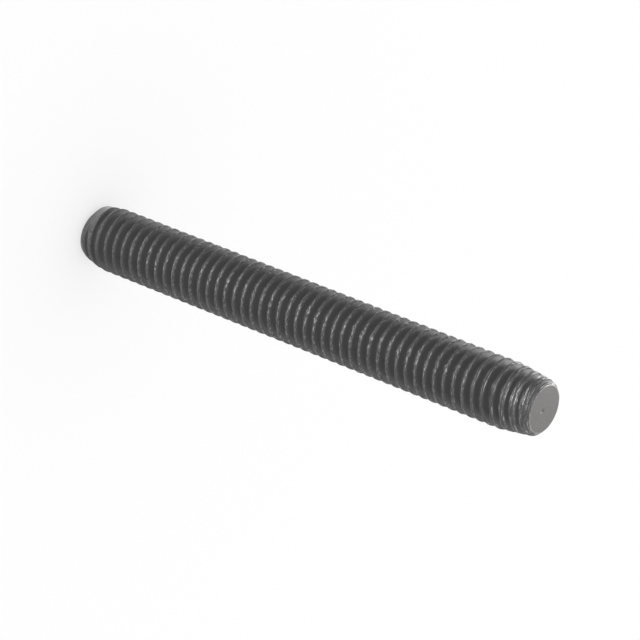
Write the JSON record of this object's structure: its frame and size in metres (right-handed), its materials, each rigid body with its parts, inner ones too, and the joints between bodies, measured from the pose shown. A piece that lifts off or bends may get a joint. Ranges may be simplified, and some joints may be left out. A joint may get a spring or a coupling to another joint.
{
  "type": "threaded stud",
  "caption": "Steel stud with a coarse right-hand thread from end to end, flat ends with small bevels, and a punch mark in one end.",
  "frame": {"origin": "middle of the foot end face, which the stud stands on", "axes": "+Z along the stud's axis, from the foot end to the top end with the punch mark"},
  "size_m": [0.006, 0.006, 0.05],
  "materials": {
    "dark_steel": "dark oxide finish, rubbed bright along the crests of the thread, with bare sawn end faces"
  },
  "bodies": {
    "root": {"stud": "dark_steel"}
  },
  "joints": []
}
